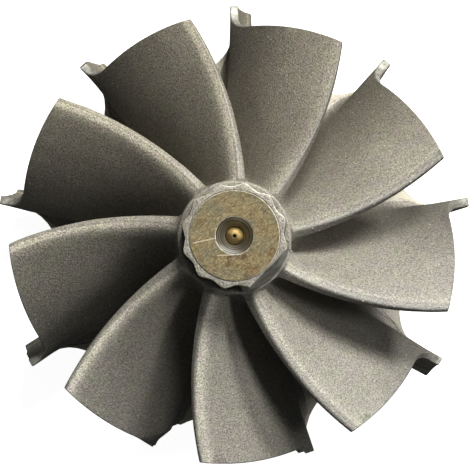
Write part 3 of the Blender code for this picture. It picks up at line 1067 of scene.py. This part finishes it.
def nose_face():
    """Machined nose: brass-coloured oxide with diagonal marks, brown stains and two scratches."""
    shade = Shade("nose_face")
    scoring = shade.noise(0.11, 1.0, 0.5, shade.moved(NOSE_MARK_ANGLE, (6, 1, 1)))
    hatch = shade.stripes(NOSE_HATCH_PITCH, NOSE_MARK_ANGLE + 90.0, 4.0)
    marks = shade.calculate("ADD", shade.times(scoring, 0.8), shade.times(hatch, 0.2))
    stains = shade.noise(3.2, 3.0, 0.6)
    grain = shade.noise(0.34, 2.0, 0.65)
    colour = shade.mix(shade.ramp(stains, 0.36, 0.64), (0.290, 0.228, 0.110), (0.238, 0.208, 0.122))
    burnt = shade.ramp(shade.noise(1.5, 3.0, 0.65), 0.50, 0.68, 0.0, 0.65)
    burnt = shade.times(burnt, shade.ramp(shade.towards(BURNT_ANGLE), -4.0 * MM, 6.0 * MM, 0.6, 1.7))
    colour = shade.mix(burnt, colour, (0.16, 0.10, 0.045))
    for x, y, size in RUST_SPOTS:
        ragged = shade.calculate("ADD", shade.away(x, y), shade.times(stains, size * MM))
        spot = shade.ramp(ragged, 1.5 * size * MM, 0.6 * size * MM)
        colour = shade.mix(shade.times(spot, 0.7), colour, (0.21, 0.125, 0.055))
    mark_light = shade.ramp(marks, 0.25, 0.75, 0.38, 1.60, smooth=False)
    grain_light = shade.ramp(grain, 0.3, 0.7, 0.58, 1.42, smooth=False)
    colour = shade.tint(colour, shade.times(mark_light, grain_light))
    for first, second, half in SCRATCHES:
        colour = shade.mix(scratch_mask(shade, first, second, half), colour, (0.62, 0.57, 0.42))
    return shade.finish(colour, 0.35, shade.ramp(marks, 0.3, 0.7, 0.36, 0.52), marks, 0.012)


# Centre drilling: direction of the patch of painted light on its wall, on partly bare steel, and of the side
# of the pilot hole's collar that is painted lit, with painted shade opposite
LIT_WALL_ANGLE = -108.0
LIT_GOLD_ANGLE = 64.0


def centre_cone():
    """Wall of the centre drilling: dark steel with turned rings, and a patch of painted light, on partly bare
    steel, on one side.
    """
    shade = Shade("centre_cone")
    rings = shade.noise(0.30, 1.0, 0.5, shade.moved(0.0, (40, 40, 1)))
    colour = shade.mix(shade.ramp(rings, 0.35, 0.65), (0.06, 0.052, 0.038), (0.26, 0.23, 0.17))
    # Painted light: the wall is lighter on the side where the lamp's light falls, partly bare steel there
    lit_wall = shade.ramp(shade.towards(LIT_WALL_ANGLE), 1.9 * MM, 3.1 * MM)
    lit_wall = shade.times(lit_wall, shade.ramp(rings, 0.35, 0.6, 0.2, 1.0))
    colour = shade.mix(lit_wall, colour, (0.62, 0.63, 0.58))
    return shade.finish(colour, 0.5, 0.32, rings, 0.01)


def centre_pilot():
    """Collar round the pilot hole: heat-tinted gold, with painted light on its upper side and painted shade,
    dark brown, below.
    """
    shade = Shade("centre_pilot")
    tarnish = shade.noise(0.45, 2.0, 0.6)
    # Painted light and shade: gold on the side facing the light, dark brown on the side away from it
    lit_gold = shade.calculate("ADD", shade.towards(LIT_GOLD_ANGLE), shade.times(tarnish, 0.8 * MM))
    colour = shade.mix(shade.ramp(lit_gold, 0.0, 1.1 * MM), (0.15, 0.10, 0.035), (0.52, 0.37, 0.12))
    return shade.finish(colour, 0.4, 0.45, tarnish, 0.04)


# The turned rings of the weld face are stretched this many times round the axis
RING_STRETCH = 60.0


def weld_face():
    """Turned face on the back boss: bare metal with rings round the axis."""
    shade = Shade("weld_face")
    slow = shade.part(shade.moved(0.0, (RING_STRETCH, RING_STRETCH, 1)), 0)
    place = shade.node("CombineXYZ", X=shade.away(0, 0), Y=slow).outputs["Vector"]
    rings = shade.noise(0.35, 1.0, 0.5, place)
    patches = shade.noise(4.0, 2.0, 0.6)
    colour = shade.mix(shade.ramp(rings, 0.35, 0.65), (0.24, 0.23, 0.205), (0.46, 0.445, 0.40))
    colour = shade.mix(shade.ramp(patches, 0.45, 0.7, 0.0, 0.5), colour, (0.25, 0.215, 0.16))
    return shade.finish(colour, 0.5, 0.38, rings, 0.012)


def wheel_materials():
    """One material for each slot, in slot order."""
    return [
        cast_metal("cast_skin", 1.0, 0.11, along_flow=True),
        turned_edge(),
        ground_cut(),
        nose_face(),
        centre_cone(),
        centre_pilot(),
        cast_metal("broken_metal", 0.8, 0.14),
        cast_metal("back_face", 0.9, 0.05),
        cast_metal("nose_cast", 1.15, 0.16, shaded_foot=True),
        bright_chamfer(),
        weld_face(),
    ]


# Camera: the photograph's own view, from above the nose
CAMERA_PLACE = Vector((-0.954, -17.059, 483.108)) * MM
CAMERA_AIM = Vector((0.144, 1.086, 30.0)) * MM
CAMERA_LENS = 176.8
CAMERA_SENSOR = 36.0


def add_camera():
    data = bpy.data.cameras.new("camera")
    data.lens = CAMERA_LENS
    data.sensor_width = CAMERA_SENSOR
    data.clip_start = 0.01
    data.clip_end = 20
    camera = add_object("camera", data)
    back = (CAMERA_PLACE - CAMERA_AIM).normalized()
    right = Vector((0, 1, 0)).cross(back).normalized()
    up = back.cross(right)
    turn = Matrix((right, up, back)).transposed()
    camera.matrix_world = Matrix.Translation(CAMERA_PLACE) @ turn.to_4x4()
    bpy.context.scene.camera = camera


# Lamps: name, direction round the wheel, height angle and power in watts
LAMPS = (("key_light", 45.0, 38.0, 5.5), ("top_light", 75.0, 55.0, 4.9), ("side_light", 5.0, 55.0, 1.6))
LAMP_DISTANCE = 0.9
LAMP_SIZE = 0.2
LAMP_COLOUR = (1.0, 0.99, 0.975)
WORLD_COLOUR = (0.95, 0.97, 1.0)
WORLD_STRENGTH = 0.058


def add_lights():
    aim = Vector((0, 0, 30)) * MM
    for name, turn, height, power in LAMPS:
        data = bpy.data.lights.new(name, "AREA")
        data.shape = "DISK"
        data.size = LAMP_SIZE
        data.energy = power
        data.color = LAMP_COLOUR
        light = add_object(name, data)
        level = LAMP_DISTANCE * math.cos(math.radians(height))
        light.location = polar_point(level, turn, LAMP_DISTANCE * math.sin(math.radians(height)))
        light.rotation_euler = (aim - light.location).to_track_quat("-Z", "Y").to_euler()


def set_world():
    world = bpy.data.worlds.new("studio")
    world.use_nodes = True
    background = world.node_tree.nodes["Background"]
    background.inputs["Color"].default_value = (*WORLD_COLOUR, 1)
    background.inputs["Strength"].default_value = WORLD_STRENGTH
    bpy.context.scene.world = world
    view = bpy.context.scene.view_settings
    view.view_transform = "Standard"
    view.look = "None"
    view.exposure = 0.0
    view.gamma = 1.0


# Floor: radius in metres, and a faint glow that keeps it as pale as the photograph's background
FLOOR_RADIUS = 2.5
FLOOR_GLOW = 0.94


def add_floor():
    """Plain pale studio floor under the weld face."""
    mesh = bpy.data.meshes.new("floor")
    shape = bmesh.new()
    bmesh.ops.create_circle(shape, cap_ends=True, segments=96, radius=FLOOR_RADIUS)
    shape.to_mesh(mesh)
    shape.free()
    material = bpy.data.materials.new("pale_floor")
    material.use_nodes = True
    shader = material.node_tree.nodes["Principled BSDF"]
    shader.inputs["Base Color"].default_value = (0.9, 0.9, 0.9, 1)
    shader.inputs["Roughness"].default_value = 0.9
    shader.inputs["Specular IOR Level"].default_value = 0.1
    shader.inputs["Emission Color"].default_value = (1, 1, 1, 1)
    shader.inputs["Emission Strength"].default_value = FLOOR_GLOW
    mesh.materials.append(material)
    floor = add_object("floor", mesh)
    floor.visible_diffuse = False
    floor.visible_glossy = False


add_camera()
build_wheel()
add_lights()
set_world()
add_floor()
